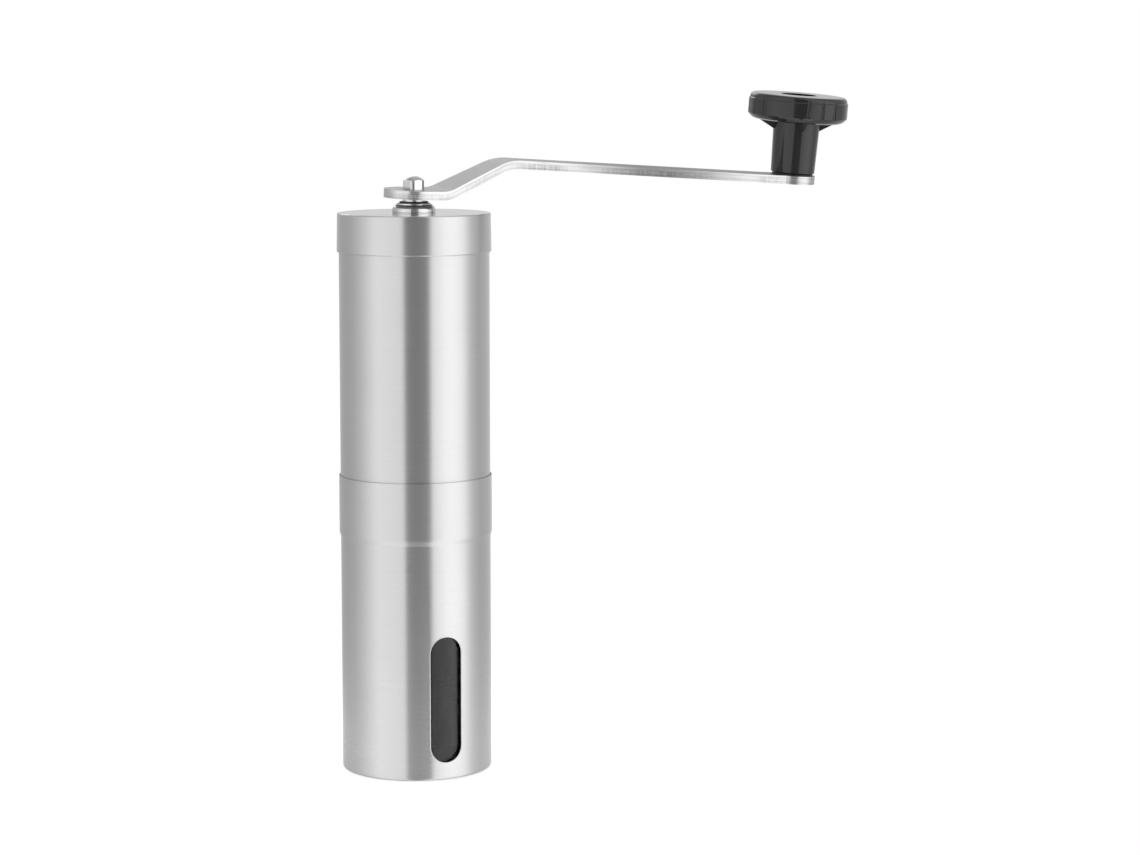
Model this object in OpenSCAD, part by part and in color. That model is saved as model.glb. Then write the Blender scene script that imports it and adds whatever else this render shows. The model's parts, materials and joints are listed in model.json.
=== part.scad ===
// Hand crank coffee grinder, millimetres, +Z up.
// The axis of the body is the Z axis and the cup stands on z = 0.
// The crank arm points along +X and the window faces -Y.
// The crank hangs loosely on the five-sided tip, so it leans a little.

/* [Cup] */
// outer radius of the cup wall
cup_r = 24.5; // [24.4:0.05:24.6]
// height of the cup rim
cup_h = 97.2; // [94:0.1:99]
// wall of the cup
cup_wall = 0.5; // [0.45:0.05:0.7]
// bottom of the widened neck
neck_z = 79.5; // [78.5:0.1:79.8]
// outer radius of the widened neck
neck_r = 24.95; // [24.9:0.05:25.2]

/* [Window] */
// width of the window slot
slot_w = 11; // [8:0.5:14]
// lower end of the slot
slot_z0 = 5.6; // [4:0.2:12]
// upper end of the slot
slot_z1 = 47.1; // [38:0.2:49]

/* [Tube] */
// outer radius of the hopper tube
tube_r = 24.45; // [24.44:0.01:24.46]
// wall of the hopper tube
tube_wall = 0.6; // [0.5:0.05:0.6]
// top edge of the tube
tube_z1 = 180.5; // [179:0.1:180.6]

/* [Lid] */
// top face of the lid
lid_z = 182.7; // [182.7:0.1:182.9]
// lower edge of the lid skirt
skirt_z = 170; // [165:0.5:174]
// fillet on the lid edge
lid_fillet = 0.6; // [0.3:0.1:1.6]

/* [Crank] */
// shaft axis to knob axis along the arm
crank_len = 141; // [120:1:160]
// thickness of the arm
arm_t = 2.8; // [2.6:0.1:2.9]
// radius of the hub round the shaft
hub_r = 9.7; // [8.8:0.1:11]
// radius of the eye under the knob
eye_r = 7.8; // [7.3:0.1:8.4]
// rise of the arm above the hub
arm_rise = 10.4; // [8:0.2:14]

/* [Knob] */
// radius of the knob disc
knob_r = 17; // [15:0.5:20]
// number of grip grooves
grooves = 20; // [12:1:28]
// height of the knob above the arm
knob_h = 27.4; // [26.5:0.1:30]

/* [Hidden] */
$fn = 96;

// levels inside the tube
tube_z0 = 80.2;
tube_ri = tube_r - tube_wall;
neck_ri = tube_r + 0.08;
housing_z0 = 82;
housing_z1 = 112;
burr_z0 = 86;
burr_z1 = 98;
boss_z0 = 104.5;
boss_z1 = 114;

// shaft
shaft_r = 3.7;
shaft_z0 = 73.5;
shaft_shoulder = 187.05;
shaft_top = 194.4;
tip_r = 3.42;
tip_flat = 3.13;
thread_r = 2.5;
thread_pitch = 1;
flat_r = 3.5;
flat_half = 2.6;

// lid stack
collar_z0 = lid_z + 2.55;
bush_top = lid_z + 3.6;

// crank frame: hub top on the axis, lean down the arm and across it
hub_z = 190.2;
lean_down = 1.7;
lean_across = 2.6;
bend_low = 9;
bend_high = 31;
leg_drop = 2.06;
stub = 5.2;
leg_half = 6.53;
eye_roll = 1.67;
eye_pitch = 1;
eye_half = 5.6;
tongue = 8.6;
step_angle = atan2(arm_rise, bend_high - bend_low);
eye_top = arm_rise - (crank_len - bend_high) * tan(leg_drop);

// ---------- helpers ----------

// ring with square corners
module ring(ro, ri, z0, z1) {
    translate([0, 0, z0])
    difference() {
        cylinder(r = ro, h = z1 - z0);
        translate([0, 0, -1]) cylinder(r = ri, h = z1 - z0 + 2);
    }
}

// outline of a round bar with five flats
module five(grow) {
    intersection() {
        rotate([0, 0, 167]) circle(r = (tip_flat + grow) / cos(36), $fn = 5);
        circle(r = tip_r + grow);
    }
}

// an arc of radius r rounds the corner p between the unit vectors a and b
// distance from the corner to where the arc starts
function arc_reach(a, b, r) = r / tan(acos(a * b) / 2);

// centre of the arc
function arc_centre(p, a, b, r) = p + (a + b) / norm(a + b) * r / sin(acos(a * b) / 2);

// points along the arc, from the side a to the side b
function arc_points(p, a, b, r, steps = 16) =
    let (c = arc_centre(p, a, b, r),
        from = p + arc_reach(a, b, r) * a - c,
        to = p + arc_reach(a, b, r) * b - c,
        start = atan2(from[1], from[0]),
        sweep = sign(from[0] * to[1] - from[1] * to[0]) * acos(from * to / (r * r)))
    [for (i = [0 : steps])
        c + r * [cos(start + i * sweep / steps), sin(start + i * sweep / steps)]];

// sliver to cut away between an outer corner and its arc
module corner_cut(p, a, b, r) {
    difference() {
        polygon([p - 0.4 * (a + b) / norm(a + b), p + arc_reach(a, b, r) * a,
            p + arc_reach(a, b, r) * b]);
        translate(arc_centre(p, a, b, r)) circle(r = r, $fn = 180);
    }
}

// frame of the crank: origin on the hub's top face, x along the arm
module crank_frame() {
    translate([0, 0, hub_z]) rotate([lean_across, lean_down, 0]) children();
}

// place of the eye in the crank's frame: the arm is slightly twisted there
module eye_place() {
    translate([crank_len, 0, eye_top]) rotate([eye_roll, eye_pitch, 0]) children();
}

// frame of the knob: origin on the eye's top face, z along the pin
module knob_frame() {
    crank_frame() eye_place() children();
}

// ---------- cup ----------

module slot_shape(r, y0, y1) {
    zc0 = slot_z0 + slot_w / 2;
    zc1 = slot_z1 - slot_w / 2;
    for (z = [zc0, zc1])
        translate([0, y1, z]) rotate([90, 0, 0]) cylinder(r = r, h = y1 - y0);
    translate([-r, y0, zc0]) cube([2 * r, y1 - y0, zc1 - zc0]);
}

module grounds_cup() {
    ri = cup_r - cup_wall;
    color("silver")
    difference() {
        rotate_extrude($fn = 180)
        difference() {
            polygon([[0, 0], [cup_r, 0], [cup_r, neck_z - 2.6],
                [cup_r + 0.16, neck_z - 2], [cup_r + 0.36, neck_z - 1.3],
                [neck_r, neck_z - 0.6],
                [neck_r, cup_h], [neck_ri + 0.3, cup_h], [neck_ri, cup_h - 0.8],
                [neck_ri, neck_z + 0.4],
                [ri, neck_z - 3], [ri, 1.4], [ri - 0.8, 0.6], [0, 0.6]]);
            corner_cut([cup_r, 0], [-1, 0], [0, 1], 0.9);
        }
        slot_shape(slot_w / 2, -cup_r - 2, -cup_r + 4);
    }
}

// thick pane behind the wall, thinned to a pocket where the slot is
module window_pane() {
    ro = cup_r - cup_wall;
    color([0.2, 0.2, 0.22, 0.7])
    difference() {
        intersection() {
            ring(ro, ro - 2, slot_z0 - 3.6, slot_z1 + 3.6);
            translate([-8, -cup_r - 2, slot_z0 - 4]) cube([16, 12, slot_z1 - slot_z0 + 8]);
        }
        difference() {
            slot_shape(slot_w / 2, -cup_r - 2, -cup_r + 6);
            cylinder(r = ro - 0.75, h = slot_z1 + 9);
        }
    }
}

// ---------- hopper tube and grinding stage ----------

module hopper_tube() {
    color("silver") ring(tube_r, tube_ri, tube_z0, tube_z1, $fn = 180);
}

module burr_housing() {
    color([0.12, 0.12, 0.13])
    union() {
        rotate_extrude()
        polygon([[tube_ri, housing_z0], [tube_ri, housing_z1], [tube_ri - 1, housing_z1],
            [15.5, 103], [15.5, 100], [14.4, 98.5], [14.4, burr_z1], [18, burr_z1],
            [18, burr_z0], [19.3, burr_z0], [19.3, housing_z0]]);
        difference() {
            union() {
                translate([0, 0, boss_z0]) cylinder(r = 6.8, h = boss_z1 - boss_z0);
                for (a = [90, 210, 330])
                    rotate([0, 0, a])
                    translate([5, -2.2, boss_z0 + 0.5])
                    cube([14.5, 4.4, 6]);
            }
            translate([0, 0, boss_z0 - 1]) cylinder(r = 4.6, h = boss_z1 - boss_z0 + 2);
        }
    }
}

module bridge_bush() {
    color([0.85, 0.84, 0.8])
    difference() {
        union() {
            translate([0, 0, boss_z0]) cylinder(r = 4.6, h = boss_z1 - boss_z0 + 0.5);
            translate([0, 0, boss_z1]) cylinder(r = 6.2, h = 1.2);
        }
        translate([0, 0, boss_z0 - 1]) cylinder(r = shaft_r + 0.07, h = 20);
    }
}

module outer_burr() {
    color([0.93, 0.92, 0.88])
    difference() {
        rotate_extrude()
        polygon([[18, burr_z0], [18, burr_z1], [11.4, burr_z1], [16.5, burr_z0]]);
        for (i = [0:23])
            rotate([0, 0, i * 15])
            translate([11.3, 0, burr_z1 + 0.2])
            rotate([0, 156.8, 10])
            translate([-0.55, -0.5, 0])
            cube([1.1, 1, 14]);
        for (i = [0:2])
            rotate([0, 0, i * 120])
            translate([18, 0, burr_z0 - 1])
            cylinder(r = 1.2, h = 4);
    }
}

module burr_retainer() {
    color([0.12, 0.12, 0.13])
    difference() {
        ring(19.3, 17.3, housing_z0 + 0.3, burr_z0);
        for (i = [0:2])
            rotate([0, 0, i * 120 + 60])
            translate([18.3, 0, housing_z0 - 1])
            cylinder(r = 1.6, h = 2.6);
    }
}

// ---------- lid ----------

module lid_cap() {
    color("silver")
    difference() {
        rotate_extrude($fn = 180)
        difference() {
            polygon([[5.2, lid_z], [24.9, lid_z], [25.1, skirt_z + 0.3], [24.85, skirt_z],
                [neck_ri, skirt_z],
                [neck_ri, lid_z - 0.7], [5.2, lid_z - 0.7]]);
            corner_cut([24.9, lid_z], [-1, 0], [0.0157, -0.99988], lid_fillet);
        }
        translate([0, 0, skirt_z - 1]) cylinder(r = 5.2, h = 20);
    }
}

module lid_ferrule() {
    color("silver")
    rotate_extrude()
    intersection() {
        translate([5.08, lid_z + 0.55]) circle(r = 2.02);
        translate([5.2, lid_z]) square([3, 2.35]);
    }
}

module lid_bush() {
    color([0.06, 0.06, 0.06])
    difference() {
        union() {
            translate([0, 0, lid_z - 7]) cylinder(r = 4.7, h = 7 + 3.6);
            translate([0, 0, lid_z - 0.7]) cylinder(r = 5.2, h = 0.7 + 2.35);
            translate([0, 0, lid_z + 2.35]) cylinder(r = 5.95, h = 0.2);
        }
        translate([0, 0, lid_z - 8]) cylinder(r = shaft_r + 0.07, h = 20);
    }
}

module lid_collar() {
    color("silver")
    rotate_extrude()
    polygon([[4.7, collar_z0], [5.6, collar_z0], [5.5, collar_z0 + 0.45],
        [5.35, collar_z0 + 0.6], [4.7, collar_z0 + 0.6]]);
}

module lid_liner() {
    top = lid_z - 0.7;
    color([0.12, 0.12, 0.13])
    difference() {
        union() {
            translate([0, 0, top - 1.2]) cylinder(r = 24.3, h = 1.2);
            ring(23.55, 22, top - 6.5, top - 1);
            translate([0, 0, top - 6.3]) cylinder(r = 7.2, h = 6);
            for (a = [30, 150, 270])
                rotate([0, 0, a])
                translate([6, -0.8, top - 4.5])
                cube([16.5, 1.6, 4]);
        }
        translate([0, 0, top - 8]) cylinder(r = 4.7, h = 10);
    }
}

// ---------- shaft group ----------

// thread crests drawn as closed rings
module thread_rings(z0, z1, r, depth) {
    difference() {
        translate([0, 0, z0]) cylinder(r = r, h = z1 - z0);
        rotate_extrude()
        for (z = [z0 + thread_pitch : thread_pitch : z1 - thread_pitch])
            polygon([[r - depth, z], [r + 0.1, z + 0.4], [r + 0.1, z - 0.4]]);
    }
}

module shaft() {
    color("silver")
    difference() {
        union() {
            thread_rings(shaft_z0, 83.5, thread_r, 0.35);
            intersection() {
                translate([0, 0, 83.5]) cylinder(r = flat_r, h = 19.4);
                translate([-flat_half, -5, 83.5]) cube([2 * flat_half, 10, 19.4]);
            }
            translate([0, 0, 102.9]) cylinder(r = shaft_r, h = shaft_shoulder - 102.9);
            intersection() {
                translate([0, 0, shaft_shoulder])
                linear_extrude(height = shaft_top - shaft_shoulder) five(0);
                union() {
                    translate([0, 0, shaft_top - 4.6]) sphere(r = 4.7);
                    translate([0, 0, shaft_shoulder - 1]) cylinder(r = 4.7, h = 3.8);
                }
            }
        }
        ring(5, 3, boss_z1 + 1.4, boss_z1 + 2.4);
    }
}

module shaft_clip() {
    color("silver")
    difference() {
        ring(6, 3.02, boss_z1 + 1.5, boss_z1 + 2.3);
        translate([2, -1.8, boss_z1]) cube([6, 3.6, 4]);
    }
}

module spring_washer() {
    color("silver") ring(5.6, 3.75, 103.2, 103.9);
}

// one closed coil of round wire, swept as a single skin
module spring() {
    turns = 5;
    steps = 20;
    sides = 8;
    wire = 0.45;
    mean = 4.75;
    z0 = 92.13 + wire;
    z1 = 103.17 - wire;
    count = turns * steps;
    rise = (z1 - z0) / count;
    pts = [for (i = [0 : count], j = [0 : sides - 1])
        let (a = i * 360 / steps, b = j * 360 / sides)
        [(mean + wire * cos(b)) * cos(a), (mean + wire * cos(b)) * sin(a),
            z0 + rise * i + wire * sin(b)]];
    skin = [for (i = [0 : count - 1], j = [0 : sides - 1])
        [i * sides + j, i * sides + (j + 1) % sides,
            (i + 1) * sides + (j + 1) % sides, (i + 1) * sides + j]];
    cap0 = [[for (j = [0 : sides - 1]) sides - 1 - j]];
    cap1 = [[for (j = [0 : sides - 1]) count * sides + j]];
    color("silver") polyhedron(points = pts, faces = concat(skin, cap0, cap1));
}

// ---------- inner burr group ----------

module inner_burr() {
    color([0.93, 0.92, 0.88])
    difference() {
        rotate_extrude()
        polygon([[7, 84.8], [15.3, 84.8], [15.9, 85.4], [15.9, 86.2], [10.9, 98],
            [8.4, 101], [7, 101]]);
        for (i = [0:17])
            rotate([0, 0, i * 20])
            translate([10.6, 0, 99.6])
            rotate([0, 156.8, -14])
            translate([-0.8, -0.55, 0])
            cube([1.7, 1.1, 16.5]);
    }
}

module burr_core() {
    color([0.15, 0.15, 0.16])
    difference() {
        union() {
            translate([0, 0, 83.2]) cylinder(r = 11, h = 1.6);
            translate([0, 0, 83.2]) cylinder(r = 7, h = 17);
        }
        intersection() {
            translate([0, 0, 82]) cylinder(r = flat_r + 0.08, h = 20);
            translate([-flat_half - 0.08, -5, 82]) cube([2 * flat_half + 0.16, 10, 20]);
        }
        translate([0, 0, 92.1]) cylinder(r = 5.6, h = 12);
    }
}

module click_plate() {
    color("silver")
    difference() {
        ring(9, 3.8, 82.5, 83.2);
        for (i = [0:11])
            rotate([0, 0, i * 30])
            translate([7, 0, 82])
            cylinder(r = 0.7, h = 0.8);
    }
}

module adjuster_wheel() {
    color([0.12, 0.12, 0.13])
    difference() {
        translate([0, 0, 76.5]) cylinder(r = 10.5, h = 5.8);
        translate([0, 0, 75]) cylinder(r = 5.4, h = 9, $fn = 6);
        for (i = [0:17])
            rotate([0, 0, i * 20])
            translate([11.1, 0, 75])
            cylinder(r = 1.2, h = 9);
    }
}

module adjuster_insert() {
    color([0.8, 0.65, 0.3])
    difference() {
        translate([0, 0, 76]) cylinder(r = 5.4, h = 6.3, $fn = 6);
        translate([0, 0, 75]) cylinder(r = thread_r + 0.05, h = 9);
    }
}

// ---------- crank ----------

// side view of the arm: hub, step and the start of the leg
module arm_side() {
    s = step_angle;
    d = leg_drop;
    p0 = [bend_low, 0];
    p1 = [bend_high, arm_rise];
    q0 = [bend_low + arm_t * tan(s / 2), -arm_t];
    q1 = p1 + arm_t / cos((s + d) / 2) * [sin((s - d) / 2), -cos((s - d) / 2)];
    leg = [cos(d), -sin(d)];
    p2 = p1 + stub * leg;
    q2 = p2 + arm_t * [-sin(d), -cos(d)];
    up = [cos(s), sin(s)];
    back = [-1, 0];
    polygon(concat([[-20, 0]], arc_points(p0, back, up, 9), arc_points(p1, -up, leg, 17),
        [p2, q2], arc_points(q1, leg, -up, 14), arc_points(q0, up, back, 12),
        [[-20, -arm_t]]));
}

// outline of the hub and the step from above
module arm_plan() {
    circle(r = hub_r, $fn = 180);
    polygon([[1, -hub_r + 0.06], [bend_high, -6.6], [40, -6.52],
        [40, 6.52], [bend_high, 6.6], [1, hub_r - 0.06]]);
}

// straight leg, a hair inside the faces it joins so that the joins are clean
module arm_leg() {
    inset = 0.02;
    deep = arm_t - 2 * inset;
    hull() {
        translate([bend_high, 0, arm_rise])
        rotate([0, leg_drop, 0])
        translate([stub - 0.8, -leg_half, -arm_t + inset])
        cube([0.5, 2 * leg_half, deep]);
        eye_place()
        translate([0.2 - tongue, inset - eye_half, -arm_t + inset])
        cube([0.5, 2 * (eye_half - inset), deep]);
    }
}

// round eye with a short flat tongue, so that the washer lies on a flat
module arm_eye() {
    eye_place()
    translate([0, 0, -arm_t])
    linear_extrude(height = arm_t)
    union() {
        circle(r = eye_r, $fn = 180);
        translate([-tongue, -eye_half]) square([tongue, 2 * eye_half]);
    }
}

module crank_arm() {
    color("silver")
    crank_frame()
    difference() {
        union() {
            intersection() {
                translate([0, 20, 0]) rotate([90, 0, 0]) linear_extrude(height = 40) arm_side();
                translate([0, 0, -30]) linear_extrude(height = 60) arm_plan();
            }
            arm_leg();
            arm_eye();
        }
        translate([0, 0, -arm_t - 1]) linear_extrude(height = arm_t + 2) five(0.28);
        eye_place()
        translate([0, 0, -arm_t - 2])
        cylinder(r = 2.5, h = arm_t + 4);
    }
}

module knob_pin() {
    color("silver")
    knob_frame()
    union() {
        translate([0, 0, -arm_t - 0.5]) cylinder(r1 = 1.8, r2 = 3.2, h = 0.5);
        translate([0, 0, -arm_t - 0.1]) cylinder(r = 2.5, h = arm_t + 1);
        cylinder(r = 3, h = knob_h - 4.7);
        translate([0, 0, knob_h - 4.7]) cylinder(r = 4.6, h = 1.6);
    }
}

module pin_washer() {
    color([0.06, 0.06, 0.06]) knob_frame() ring(6.9, 3.02, 0, 0.5);
}

// disc with flat grip ribs between narrow grooves, and four fins under it
module knob() {
    top = knob_h;
    bottom = top - 9;
    rim = knob_r - 0.35;
    color([0.08, 0.08, 0.08])
    knob_frame()
    union() {
        difference() {
            intersection() {
                cylinder(r = knob_r + 0.05, h = top + 1, $fn = grooves);
                rotate_extrude($fn = 120)
                difference() {
                polygon([[3.05, 0.6], [7.1, 0.6], [7.5, 1], [8, bottom], [knob_r - 2.8, bottom],
                    [knob_r - 1.4, bottom + 0.5], [knob_r - 0.4, bottom + 1.4],
                    [knob_r, bottom + 1.9], [knob_r, top - 2], [rim, top - 1.7],
                    [rim, top], [6.3, top], [6.2, top - 0.1],
                    [6.2, top - 5], [3.05, top - 5]]);
                corner_cut([rim, top], [-1, 0], [0, -1], 1.5);
                }
            }
            for (i = [0 : grooves - 1])
                rotate([0, 0, i * 360 / grooves])
                translate([knob_r + 0.22, 0, bottom + 1.9])
                cylinder(r = 0.7, h = 10, $fn = 24);
        }
        for (i = [0:3])
            rotate([0, 0, i * 90 - 17])
            rotate([90, 0, 0])
            translate([0, 0, -0.8])
            linear_extrude(height = 1.6)
            polygon([[7.4, bottom + 0.5], [13.4, bottom + 0.5], [13.4, bottom],
                [8, bottom - 3], [7.4, bottom - 3]]);
    }
}

// ---------- assembly ----------

grounds_cup();
window_pane();
hopper_tube();
burr_housing();
bridge_bush();
outer_burr();
burr_retainer();
lid_cap();
lid_ferrule();
lid_bush();
lid_collar();
lid_liner();
shaft();
shaft_clip();
spring_washer();
spring();
inner_burr();
burr_core();
click_plate();
adjuster_wheel();
adjuster_insert();
crank_arm();
knob_pin();
pin_washer();
knob();
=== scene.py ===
"""Hand crank coffee grinder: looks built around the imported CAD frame.

Everything is in metres in the part's own frame: +Z up along the body's axis,
the crank points along +X and the cup's window faces -Y.
"""

import json
import math

import bmesh
import bpy
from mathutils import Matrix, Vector


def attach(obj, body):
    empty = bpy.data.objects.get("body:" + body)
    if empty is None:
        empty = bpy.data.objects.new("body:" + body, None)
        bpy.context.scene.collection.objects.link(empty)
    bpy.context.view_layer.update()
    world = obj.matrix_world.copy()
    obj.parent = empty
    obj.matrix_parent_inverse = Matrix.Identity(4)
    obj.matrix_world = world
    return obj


MM = 0.001

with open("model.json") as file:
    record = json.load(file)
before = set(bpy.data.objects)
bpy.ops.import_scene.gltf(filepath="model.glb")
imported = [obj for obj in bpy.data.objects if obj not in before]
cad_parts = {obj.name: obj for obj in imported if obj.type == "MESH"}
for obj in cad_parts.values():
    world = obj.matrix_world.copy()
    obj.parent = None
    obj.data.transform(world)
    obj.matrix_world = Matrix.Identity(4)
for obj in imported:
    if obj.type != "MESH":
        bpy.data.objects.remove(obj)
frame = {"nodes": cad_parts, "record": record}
nodes = frame["nodes"]
scene = bpy.context.scene


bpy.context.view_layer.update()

# ---------- camera ----------

CAMERA_AT = Vector((-0.3927, -0.9205, 0.2360))
CAMERA_LOOK = Vector((0.4351, 0.8920, -0.1227))
CAMERA_LENS_MM = 97.26

camera_data = bpy.data.cameras.new("camera")
camera_data.lens = CAMERA_LENS_MM
camera_data.sensor_width = 36.0
camera_data.clip_start = 0.02
camera_data.clip_end = 30.0
camera = bpy.data.objects.new("camera", camera_data)
camera.location = CAMERA_AT
camera.rotation_euler = CAMERA_LOOK.to_track_quat("-Z", "Y").to_euler()
scene.collection.objects.link(camera)
scene.camera = camera

# ---------- node helpers ----------


class Graph:
    """A material's node tree, with short ways to add and join nodes."""

    def __init__(self, name):
        self.material = bpy.data.materials.new(name)
        self.material.use_nodes = True
        self.tree = self.material.node_tree
        self.shader = self.tree.nodes["Principled BSDF"]

    def add(self, kind, **settings):
        new = self.tree.nodes.new(kind)
        for key, value in settings.items():
            setattr(new, key, value)
        return new

    def join(self, source, target):
        self.tree.links.new(source, target)

    def set(self, **values):
        """Constants on the shader's own sockets; spaces in names are written as _."""
        for key, value in values.items():
            self.shader.inputs[key.replace("_", " ")].default_value = value

    def math(self, operation, a, b=None, c=None):
        """Result of a Math node; each value is a number or another node's output."""
        new = self.add("ShaderNodeMath", operation=operation)
        for socket, value in zip(new.inputs, (a, b, c)):
            if value is None:
                continue
            if isinstance(value, (int, float)):
                socket.default_value = value
            else:
                self.join(value, socket)
        return new.outputs[0]

    def place(self):
        """Position on the piece, in its own frame."""
        return self.add("ShaderNodeTexCoord").outputs["Object"]

    def stretched(self, vector, scale):
        """A place scaled by axis, so that noise on it is drawn out."""
        new = self.add("ShaderNodeMapping")
        new.inputs["Scale"].default_value = scale
        self.join(vector, new.inputs["Vector"])
        return new.outputs["Vector"]

    def noise(self, vector, scale=1.0, detail=2.0, roughness=0.5):
        new = self.add("ShaderNodeTexNoise")
        new.inputs["Scale"].default_value = scale
        new.inputs["Detail"].default_value = detail
        new.inputs["Roughness"].default_value = roughness
        self.join(vector, new.inputs["Vector"])
        return new.outputs["Fac"]

    def remap(self, value, low, high, to_low, to_high):
        """A value carried from low..high to to_low..to_high, held at the ends."""
        new = self.add("ShaderNodeMapRange")
        for socket, number in zip(list(new.inputs)[1:5], (low, high, to_low, to_high)):
            socket.default_value = number
        self.join(value, new.inputs["Value"])
        return new.outputs["Result"]

    def ramp(self, value, stops):
        """Colour ramp through (position, (r, g, b)) stops."""
        new = self.add("ShaderNodeValToRGB")
        elements = new.color_ramp.elements
        while len(elements) < len(stops):
            elements.new(0.5)
        for element, (position, colour) in zip(elements, stops):
            element.position = position
            element.color = (*colour, 1.0)
        self.join(value, new.inputs["Fac"])
        return new.outputs["Color"]

    def mix(self, factor, a, b):
        """Blend of two numbers by a factor."""
        new = self.add("ShaderNodeMix", data_type="FLOAT")
        for socket, value in zip((new.inputs[0], new.inputs[2], new.inputs[3]), (factor, a, b)):
            if isinstance(value, (int, float)):
                socket.default_value = value
            else:
                self.join(value, socket)
        return new.outputs[0]

    def bump(self, height, distance, strength=1.0, under=None):
        """Fine relief, laid over the relief given as under."""
        new = self.add("ShaderNodeBump")
        new.inputs["Strength"].default_value = strength
        new.inputs["Distance"].default_value = distance
        self.join(height, new.inputs["Height"])
        if under is not None:
            self.join(under, new.inputs["Normal"])
        return new.outputs["Normal"]

    def round_tangent(self):
        """Brushing that runs round the Z axis."""
        return self.add("ShaderNodeTangent", direction_type="RADIAL", axis="Z").outputs[0]


# ---------- materials ----------


# cells of brushing noise per metre along x, y and up the wall
FINE_BRUSHING = (28, 28, 9000)
BROAD_BRUSHING = (6, 6, 900)


def satin_steel(name, smooth_top=False):
    """Stainless sheet with a fine brushing that runs round the body."""
    g = Graph(name)
    place = g.place()
    parts = g.add("ShaderNodeSeparateXYZ")
    g.join(place, parts.inputs[0])
    x, y, z = parts.outputs
    radius = g.math("SQRT", g.math("ADD", g.math("MULTIPLY", x, x), g.math("MULTIPLY", y, y)))
    lay = g.add("ShaderNodeCombineXYZ")
    g.join(x, lay.inputs[0])
    g.join(y, lay.inputs[1])
    g.join(g.math("ADD", radius, z), lay.inputs[2])
    fine = g.noise(g.stretched(lay.outputs[0], FINE_BRUSHING), detail=3, roughness=0.6)
    broad = g.noise(g.stretched(lay.outputs[0], BROAD_BRUSHING), detail=2)
    smudge = g.noise(place, scale=45, detail=3)
    grain = g.math("ADD", g.math("MULTIPLY", fine, 0.65), g.math("MULTIPLY", broad, 0.35))
    g.join(g.ramp(grain, [(0.3, (0.67, 0.67, 0.67)), (0.7, (0.71, 0.71, 0.71))]),
           g.shader.inputs["Base Color"])
    rough = g.remap(grain, 0.3, 0.7, 0.27, 0.31)
    rough = g.math("ADD", rough, g.remap(smudge, 0.35, 0.7, -0.015, 0.025))
    if smooth_top:
        facing = g.add("ShaderNodeSeparateXYZ")
        g.join(g.add("ShaderNodeTexCoord").outputs["Normal"], facing.inputs[0])
        top = g.remap(facing.outputs[2], 0.85, 0.97, 0.0, 1.0)
        rough = g.mix(top, rough, g.remap(smudge, 0.35, 0.7, 0.05, 0.08))
    g.join(rough, g.shader.inputs["Roughness"])
    g.join(g.bump(fine, 0.0000015, 0.5), g.shader.inputs["Normal"])
    g.join(g.round_tangent(), g.shader.inputs["Tangent"])
    g.set(Metallic=1.0, Anisotropic=0.95, Anisotropic_Rotation=0.25)
    return g.material


def polished_steel():
    """Turned and polished small steel parts with faint tool rings."""
    g = Graph("polished steel")
    place = g.place()
    rings = g.noise(g.stretched(place, (120, 120, 6000)), detail=2)
    haze = g.noise(place, scale=400, detail=2)
    g.join(g.ramp(haze, [(0.3, (0.70, 0.70, 0.70)), (0.7, (0.78, 0.78, 0.78))]),
           g.shader.inputs["Base Color"])
    g.join(g.remap(g.math("ADD", rings, haze), 0.7, 1.3, 0.08, 0.2),
           g.shader.inputs["Roughness"])
    g.join(g.bump(rings, 0.000003, 0.5), g.shader.inputs["Normal"])
    g.set(Metallic=1.0, Anisotropic=0.3)
    return g.material


# where the arm's hub sits and how the arm leans on the shaft
CRANK_AT = (0, 0, 190.2 * MM)
CRANK_LEAN = (math.radians(2.6), math.radians(1.7), 0)
# the step up from the hub, between two bends, and the fall of the leg beyond it
ARM_RISE = 10.4 * MM
ARM_THICK = 2.8 * MM
BEND_LOW = 9 * MM
BEND_HIGH = 31 * MM
LEG_SLOPE = math.tan(math.radians(2.06))
# the middle of a stretch of the leg that is made rougher and darkened with painted shade, and how
# far from it this stays full and ends
DULL_SHADE_AT = 87 * MM
DULL_SHADE_FULL = 8 * MM
DULL_SHADE_END = 34 * MM
# the hub's edge is burnished brighter, and fades to the arm's own tone
BRIGHT_HUB_END = 12 * MM
BRIGHT_FADE_END = 24 * MM
# two grey shear lines, as shares of the thickness below the top face
UPPER_LINE = 0.34
LOWER_LINE = 0.84


def arm_place(g, place):
    """Distance along the arm, and depth below its top face as a share of its thickness."""
    level = g.add("ShaderNodeMapping", vector_type="TEXTURE")
    level.inputs["Location"].default_value = CRANK_AT
    level.inputs["Rotation"].default_value = CRANK_LEAN
    g.join(place, level.inputs["Vector"])
    parts = g.add("ShaderNodeSeparateXYZ")
    g.join(level.outputs["Vector"], parts.inputs[0])
    along = parts.outputs[0]
    slope = ARM_RISE / (BEND_HIGH - BEND_LOW)
    step = g.math("MULTIPLY", g.math("SUBTRACT", along, BEND_LOW), slope)
    leg = g.math("MULTIPLY_ADD", g.math("SUBTRACT", along, BEND_HIGH), -LEG_SLOPE, ARM_RISE)
    top = g.math("SMOOTH_MIN", step, leg, 3.0 * MM)
    top = g.math("SMOOTH_MAX", top, 0.0, 1.3 * MM)
    return along, g.math("DIVIDE", g.math("SUBTRACT", top, parts.outputs[2]), ARM_THICK)


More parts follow.
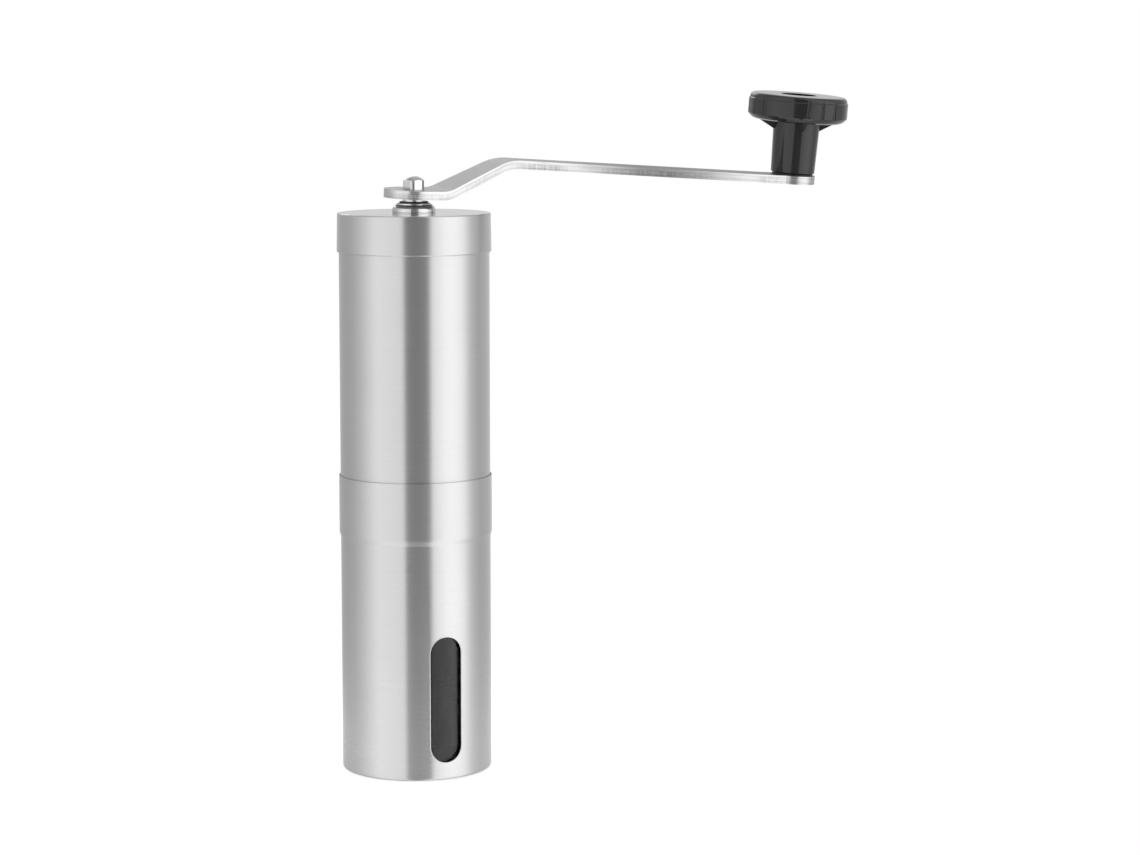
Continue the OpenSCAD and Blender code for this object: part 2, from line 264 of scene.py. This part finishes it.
def plated_steel():
    """Stamped bar: matte plated faces; sheared edges, burnished above and torn below."""
    g = Graph("plated steel bar")
    place = g.place()
    along, depth = arm_place(g, place)
    facing = g.add("ShaderNodeSeparateXYZ")
    g.join(g.add("ShaderNodeTexCoord").outputs["Normal"], facing.inputs[0])
    upright = g.math("ABSOLUTE", facing.outputs[2])
    edge = g.remap(upright, 0.3, 0.7, 1.0, 0.0)
    peel = g.noise(place, scale=2600, detail=3)
    cloud = g.noise(place, scale=60, detail=3)
    streaks = g.noise(g.stretched(place, (1500, 1500, 130)), detail=3, roughness=0.6)
    patches = g.noise(g.stretched(place, (45, 45, 10)), detail=2)
    lay = g.add("ShaderNodeCombineXYZ")
    g.join(g.math("MULTIPLY", along, 90.0), lay.inputs[0])
    g.join(g.math("MULTIPLY", depth, 5.0), lay.inputs[2])
    drawn = g.noise(lay.outputs[0], detail=3, roughness=0.6)
    from_middle = g.math("ABSOLUTE", g.math("SUBTRACT", along, DULL_SHADE_AT))
    dull_and_shade = g.remap(from_middle, DULL_SHADE_FULL, DULL_SHADE_END, 1.0, 0.0)
    torn = g.remap(depth, 0.3, 0.42, 0.0, 1.0)
    torn = g.math("MULTIPLY", torn, g.remap(patches, 0.42, 0.62, 0.1, 1.0))
    tear = g.remap(streaks, 0.35, 0.65, -1.0, 1.0)
    upper = g.math("ABSOLUTE", g.math("SUBTRACT", depth, UPPER_LINE))
    lower = g.math("ABSOLUTE", g.math("SUBTRACT", depth, LOWER_LINE))
    line = g.math("ADD", g.remap(upper, 0.02, 0.07, 0.13, 0.0),
                  g.remap(lower, 0.02, 0.09, 0.11, 0.0))
    face_tone = g.remap(cloud, 0.3, 0.7, 0.46, 0.51)
    # painted shade: the faces' tone is darkened along the rougher stretch of the leg
    face_tone = g.math("MULTIPLY", face_tone, g.math("MULTIPLY_ADD", dull_and_shade, -0.35, 1.0))
    edge_tone = g.math("SUBTRACT", 0.68, g.math("MULTIPLY", torn, 0.13))
    edge_tone = g.math("ADD", edge_tone, g.math("MULTIPLY", g.math("MULTIPLY", tear, torn), 0.11))
    edge_tone = g.math("ADD", edge_tone, g.remap(drawn, 0.35, 0.65, -0.08, 0.08))
    edge_tone = g.math("SUBTRACT", edge_tone, line)
    bright_hub = g.remap(along, BRIGHT_HUB_END, BRIGHT_FADE_END, 0.08, 0.0)
    edge_tone = g.math("ADD", edge_tone, bright_hub)
    # painted shade: the edges' tone is darkened along the rougher stretch of the leg
    edge_tone = g.math("MULTIPLY", edge_tone, g.math("MULTIPLY_ADD", dull_and_shade, -0.58, 1.0))
    tone = g.mix(edge, face_tone, edge_tone)
    g.join(g.ramp(tone, [(0.0, (0, 0, 0)), (1.0, (1, 1, 1))]), g.shader.inputs["Base Color"])
    face_rough = g.remap(peel, 0.3, 0.7, 0.40, 0.50)
    edge_rough = g.math("MULTIPLY_ADD", g.math("MAXIMUM", torn, dull_and_shade), 0.2, 0.2)
    g.join(g.mix(edge, face_rough, edge_rough), g.shader.inputs["Roughness"])
    relief = g.mix(edge, g.math("MULTIPLY", peel, 0.35), g.math("MULTIPLY", tear, torn))
    g.join(g.bump(relief, 0.00003, 0.5), g.shader.inputs["Normal"])
    g.set(Metallic=1.0)
    return g.material


def gloss_black():
    """Moulded glossy plastic with faint flow waviness and fine dust."""
    g = Graph("gloss black plastic")
    place = g.place()
    wave = g.noise(place, scale=90, detail=2)
    dust = g.noise(place, scale=3200, detail=2)
    g.join(g.ramp(dust, [(0.55, (0.010, 0.010, 0.011)), (0.85, (0.018, 0.018, 0.019))]),
           g.shader.inputs["Base Color"])
    g.join(g.remap(wave, 0.3, 0.7, 0.07, 0.13), g.shader.inputs["Roughness"])
    skin = g.bump(wave, 0.00004, 0.5)
    g.join(g.bump(dust, 0.000003, 0.3, under=skin), g.shader.inputs["Normal"])
    g.set(IOR=1.52, Coat_Weight=0.3, Coat_Roughness=0.06)
    return g.material


def matte_plastic(name, dark, light, rough):
    """Moulded plastic with a fine spark-eroded grain."""
    g = Graph(name)
    place = g.place()
    grain = g.noise(place, scale=3000, detail=3)
    cloud = g.noise(place, scale=120, detail=2)
    both = g.math("ADD", g.math("MULTIPLY", grain, 0.6), g.math("MULTIPLY", cloud, 0.4))
    g.join(g.ramp(both, [(0.3, dark), (0.7, light)]), g.shader.inputs["Base Color"])
    g.join(g.remap(grain, 0.3, 0.7, rough - 0.07, rough + 0.07), g.shader.inputs["Roughness"])
    g.join(g.bump(grain, 0.00002, 0.5), g.shader.inputs["Normal"])
    return g.material


def white_ceramic():
    """Fired burr ceramic with faint speckle."""
    g = Graph("white ceramic")
    place = g.place()
    speck = g.noise(place, scale=1500, detail=4)
    g.join(g.ramp(speck, [(0.3, (0.72, 0.70, 0.65)), (0.65, (0.86, 0.85, 0.81))]),
           g.shader.inputs["Base Color"])
    g.join(g.remap(speck, 0.3, 0.7, 0.45, 0.6), g.shader.inputs["Roughness"])
    g.join(g.bump(speck, 0.00003, 0.4), g.shader.inputs["Normal"])
    return g.material


def smoky_pane():
    """Clear smoky plastic with faint scuffs."""
    g = Graph("smoky pane")
    place = g.place()
    scuff = g.noise(g.stretched(place, (300, 300, 60)), detail=3)
    g.join(g.ramp(scuff, [(0.3, (0.29, 0.29, 0.30)), (0.7, (0.34, 0.34, 0.35))]),
           g.shader.inputs["Base Color"])
    g.join(g.remap(scuff, 0.4, 0.75, 0.03, 0.12), g.shader.inputs["Roughness"])
    g.set(Transmission_Weight=1.0, IOR=1.49)
    return g.material


def insert_brass():
    """Turned brass."""
    g = Graph("turned brass")
    place = g.place()
    rings = g.noise(g.stretched(place, (150, 150, 5000)), detail=2)
    g.join(g.ramp(rings, [(0.3, (0.62, 0.44, 0.18)), (0.7, (0.78, 0.60, 0.30))]),
           g.shader.inputs["Base Color"])
    g.join(g.remap(rings, 0.3, 0.7, 0.2, 0.34), g.shader.inputs["Roughness"])
    g.join(g.bump(rings, 0.000005, 0.5), g.shader.inputs["Normal"])
    g.set(Metallic=1.0)
    return g.material


finishes = {
    "satin_steel": satin_steel("satin steel, brushed round"),
    "polished_steel": polished_steel(),
    "plated_steel": plated_steel(),
    "gloss_black": gloss_black(),
    "black_plastic": matte_plastic("black plastic", (0.018,) * 3, (0.035,) * 3, 0.5),
    "black_nylon": matte_plastic("black nylon", (0.008,) * 3, (0.02,) * 3, 0.4),
    "white_nylon": matte_plastic("white nylon", (0.70, 0.69, 0.64), (0.80, 0.79, 0.74), 0.45),
    "white_ceramic": white_ceramic(),
    "smoky_plastic": smoky_pane(),
    "insert_brass": insert_brass(),
}

for part in frame["record"]["subparts"]:
    for holder in nodes[part["node"]].material_slots:
        holder.material = finishes[part["material_slot"]]
for holder in nodes["lid_cap"].material_slots:
    holder.material = satin_steel("satin steel with a smooth top", smooth_top=True)

# ---------- rolled edge round the window slot ----------

# the slot in the cup's wall, between the heights of its two round ends
CUP_RADIUS = 24.5 * MM
SLOT_HALF = 5.5 * MM
SLOT_BOTTOM = 5.6 * MM
SLOT_TOP = 47.1 * MM
LIP_RADIUS = 0.17 * MM
LIP_INSET = 0.09 * MM
LIP_SIDES = 10


def slot_outline(steps=24):
    """Points round the slot as (sideways, up) pairs."""
    points = []
    for centre, start in ((SLOT_TOP - SLOT_HALF, 0.0), (SLOT_BOTTOM + SLOT_HALF, math.pi)):
        for i in range(steps + 1):
            turn = start + math.pi * i / steps
            points.append((SLOT_HALF * math.cos(turn), centre + SLOT_HALF * math.sin(turn)))
    return points


def slot_lip():
    """A thin rounded lip along the slot's outer edge, on the curved wall."""
    lip_at = CUP_RADIUS - LIP_INSET
    path = [Vector((s, -math.sqrt(lip_at ** 2 - s ** 2), z)) for s, z in slot_outline()]
    mesh = bmesh.new()
    loops = []
    count = len(path)
    for i, point in enumerate(path):
        along = (path[(i + 1) % count] - path[i - 1]).normalized()
        out = Vector((point.x, point.y, 0)).normalized()
        across = along.cross(out).normalized()
        loops.append([
            mesh.verts.new(point + LIP_RADIUS * (math.cos(t) * out + math.sin(t) * across))
            for t in (2 * math.pi * j / LIP_SIDES for j in range(LIP_SIDES))
        ])
    for i in range(count):
        here, there = loops[i], loops[(i + 1) % count]
        for j in range(LIP_SIDES):
            k = (j + 1) % LIP_SIDES
            mesh.faces.new((here[j], here[k], there[k], there[j]))
    bmesh.ops.recalc_face_normals(mesh, faces=mesh.faces)
    data = bpy.data.meshes.new("slot_lip")
    mesh.to_mesh(data)
    mesh.free()
    data.polygons.foreach_set("use_smooth", [True] * len(data.polygons))
    data.materials.append(finishes["polished_steel"])
    lip = bpy.data.objects.new("slot_lip", data)
    scene.collection.objects.link(lip)
    return lip


lip = slot_lip()
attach(lip, "cup")

# ---------- floor ----------

# the floor fades out between two distances from the object's axis
FLOOR_RADIUS = 0.2
FADE_FROM = 0.07
FADE_TO = 0.19
FLOOR_ALPHA = 0.2
# a hair below the cup's foot, so that the two never share a plane
FLOOR_DROP = 0.2 * MM


def floor_material():
    """Plain pale floor that fades out into the white backdrop."""
    g = Graph("pale floor")
    place = g.place()
    length = g.add("ShaderNodeVectorMath", operation="LENGTH")
    g.join(place, length.inputs[0])
    cloud = g.noise(place, scale=9, detail=2)
    g.join(g.ramp(cloud, [(0.3, (0.93, 0.93, 0.93)), (0.7, (0.95, 0.95, 0.95))]),
           g.shader.inputs["Base Color"])
    fade = g.remap(length.outputs["Value"], FADE_FROM, FADE_TO, FLOOR_ALPHA, 0.0)
    g.join(fade, g.shader.inputs["Alpha"])
    g.set(Roughness=0.9, Specular_IOR_Level=0.1)
    return g.material


def make_floor():
    mesh = bmesh.new()
    bmesh.ops.create_circle(mesh, cap_ends=True, segments=96, radius=FLOOR_RADIUS)
    data = bpy.data.meshes.new("floor")
    mesh.to_mesh(data)
    mesh.free()
    data.materials.append(floor_material())
    floor = bpy.data.objects.new("floor", data)
    floor.location = (0, 0, -FLOOR_DROP)
    scene.collection.objects.link(floor)


make_floor()

# ---------- light ----------

# brightness of the studio by direction round the object, in degrees from the camera
STUDIO = [
    (-180, 0.70), (-172, 0.58), (-150, 0.48), (-134, 0.47), (-110, 0.53), (-91, 0.70),
    (-62, 1.08), (-18, 0.95), (-14, 0.23), (0, 0.20), (21, 0.23), (27, 1.04), (50, 1.36),
    (64, 1.38), (79, 1.24), (95, 0.72), (115, 0.51), (143, 0.56), (160, 0.64), (172, 0.66),
    (180, 0.70),
]
# the studio dims overhead, between two heights above the horizon
DIM_FROM = math.radians(25)
DIM_TO = math.radians(50)
DIM_LEVEL = 0.8
# below the horizon, in front, light from the floor lifts it towards white
LIFT_FROM = 0.02
LIFT_TO = -0.25
LIFT_SHARE = 0.16


def studio_world():
    """White backdrop for the view; softboxes and a dim gap where light is gathered."""
    world = bpy.data.worlds.new("studio")
    scene.world = world
    world.use_nodes = True
    tree = world.node_tree
    tree.nodes.clear()

    def add(kind, **settings):
        new = tree.nodes.new(kind)
        for key, value in settings.items():
            setattr(new, key, value)
        return new

    def link(a, b):
        tree.links.new(a, b)

    place = add("ShaderNodeTexCoord")
    turn = add("ShaderNodeVectorRotate", rotation_type="Z_AXIS")
    towards = math.atan2(CAMERA_AT.x, -CAMERA_AT.y)
    turn.inputs["Angle"].default_value = -towards
    link(place.outputs["Generated"], turn.inputs["Vector"])
    parts = add("ShaderNodeSeparateXYZ")
    link(turn.outputs[0], parts.inputs[0])
    back = add("ShaderNodeMath", operation="MULTIPLY")
    back.inputs[1].default_value = -1.0
    link(parts.outputs[1], back.inputs[0])
    angle = add("ShaderNodeMath", operation="ARCTAN2")
    link(parts.outputs[0], angle.inputs[0])
    link(back.outputs[0], angle.inputs[1])
    share = add("ShaderNodeMapRange")
    share.inputs["From Min"].default_value = -math.pi
    share.inputs["From Max"].default_value = math.pi
    link(angle.outputs[0], share.inputs["Value"])
    ramp = add("ShaderNodeValToRGB")
    elements = ramp.color_ramp.elements
    while len(elements) < len(STUDIO):
        elements.new(0.5)
    for element, (degrees, level) in zip(elements, STUDIO):
        element.position = (degrees + 180) / 360
        element.color = (level, level, level, 1)
    link(share.outputs["Result"], ramp.inputs["Fac"])

    overhead = add("ShaderNodeMapRange", interpolation_type="SMOOTHSTEP")
    overhead.inputs["From Min"].default_value = math.sin(DIM_FROM)
    overhead.inputs["From Max"].default_value = math.sin(DIM_TO)
    overhead.inputs["To Min"].default_value = 1.0
    overhead.inputs["To Max"].default_value = DIM_LEVEL
    link(parts.outputs[2], overhead.inputs["Value"])
    low = add("ShaderNodeMapRange")
    low.inputs["From Min"].default_value = LIFT_FROM
    low.inputs["From Max"].default_value = LIFT_TO
    low.inputs["To Max"].default_value = LIFT_SHARE
    link(parts.outputs[2], low.inputs["Value"])
    in_front = add("ShaderNodeMath", operation="MULTIPLY", use_clamp=True)
    link(low.outputs["Result"], in_front.inputs[0])
    link(back.outputs[0], in_front.inputs[1])
    lifted = add("ShaderNodeMix", data_type="RGBA")
    link(in_front.outputs[0], lifted.inputs[0])
    link(ramp.outputs["Color"], lifted.inputs[6])
    lifted.inputs[7].default_value = (1, 1, 1, 1)
    gathered = add("ShaderNodeBackground")
    link(overhead.outputs["Result"], gathered.inputs["Strength"])
    link(lifted.outputs[2], gathered.inputs["Color"])
    seen = add("ShaderNodeBackground")
    seen.inputs["Color"].default_value = (1, 1, 1, 1)
    ray = add("ShaderNodeLightPath")
    pick = add("ShaderNodeMixShader")
    link(ray.outputs["Is Camera Ray"], pick.inputs[0])
    link(gathered.outputs[0], pick.inputs[1])
    link(seen.outputs[0], pick.inputs[2])
    out = add("ShaderNodeOutputWorld")
    link(pick.outputs[0], out.inputs["Surface"])


studio_world()


def softbox(name, at, target, width, height, power):
    """A rectangular area light aimed at a point."""
    data = bpy.data.lights.new(name, "AREA")
    data.shape = "RECTANGLE"
    data.size = width
    data.size_y = height
    data.energy = power
    light = bpy.data.objects.new(name, data)
    light.location = at
    light.rotation_euler = (Vector(target) - Vector(at)).to_track_quat("-Z", "Y").to_euler()
    scene.collection.objects.link(light)
    return light


# lights matte surfaces only, so that it doesn't show as a shape in the steel
top_light = softbox("overhead", (0.05, 0.1, 1.3), (0, 0, 0), 1.2, 1.0, 26)
top_light.visible_glossy = False
# gives the arm's rising face its tone
softbox("high at the back", (0.2, 1.35, 0.82), (0, 0, 0.19), 0.9, 0.5, 1.2)

scene.view_settings.view_transform = "Standard"
scene.view_settings.look = "None"
